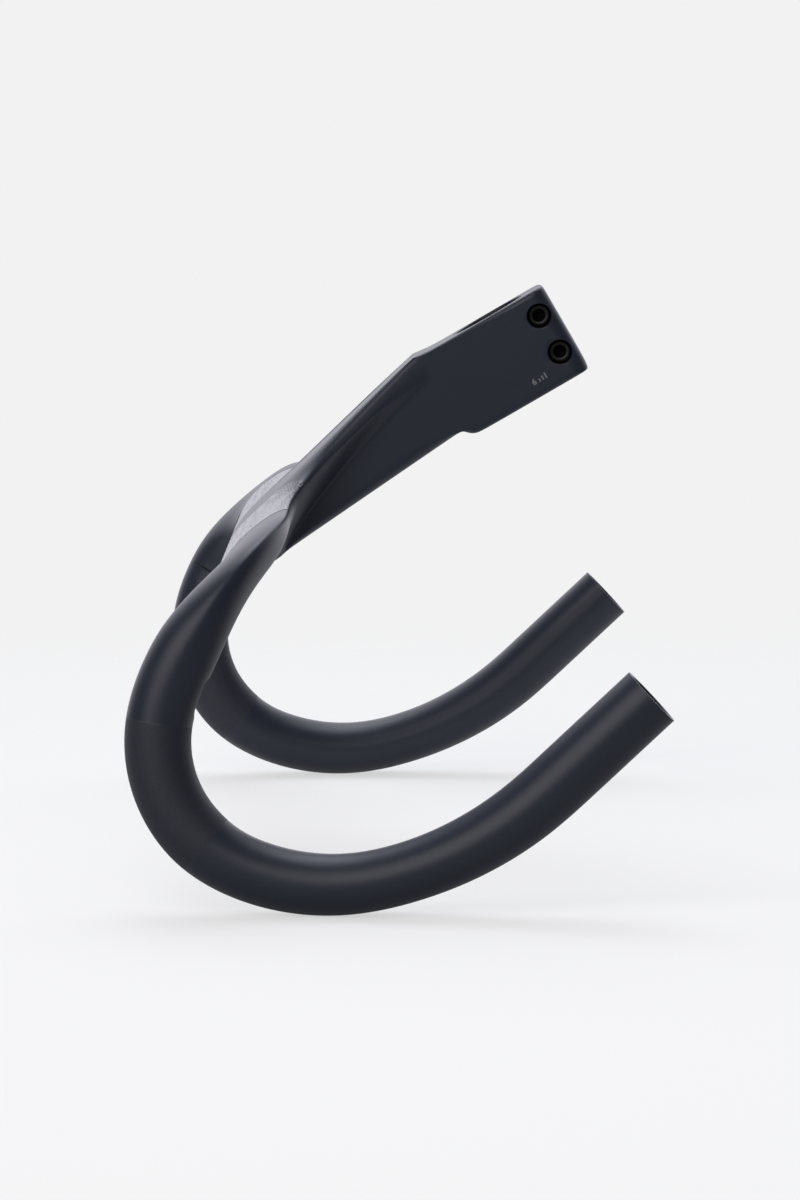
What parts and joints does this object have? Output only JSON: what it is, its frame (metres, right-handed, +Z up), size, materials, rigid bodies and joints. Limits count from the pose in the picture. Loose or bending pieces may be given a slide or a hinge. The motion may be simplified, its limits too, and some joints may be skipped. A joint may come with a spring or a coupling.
{
  "type": "integrated handlebar",
  "caption": "One-piece carbon road handlebar and stem with wing-shaped tops, short flared drops and a rear-slit steerer clamp closed by side bolts.",
  "frame": {"origin": "on the steerer axis at the underside of the clamp, where the stem seats on the spacers", "axes": "+Z up along the steerer bore, -Y forward along the stem, +X to the rider's left; the part is symmetrical about X=0 apart from its clamp bolts and inserts"},
  "size_m": [0.424, 0.2231, 0.1668],
  "materials": {
    "carbon_shell": "satin black paint over moulded carbon, with rough lever zones and a fine grip texture on the tops",
    "black_bolt": "black oxide",
    "insert_alloy": "plain turned"
  },
  "bodies": {
    "root": {"handlebar": "carbon_shell", "clamp_bolt_upper": "black_bolt", "clamp_bolt_lower": "black_bolt", "clamp_insert_upper": "insert_alloy", "clamp_insert_lower": "insert_alloy"}
  },
  "joints": []
}
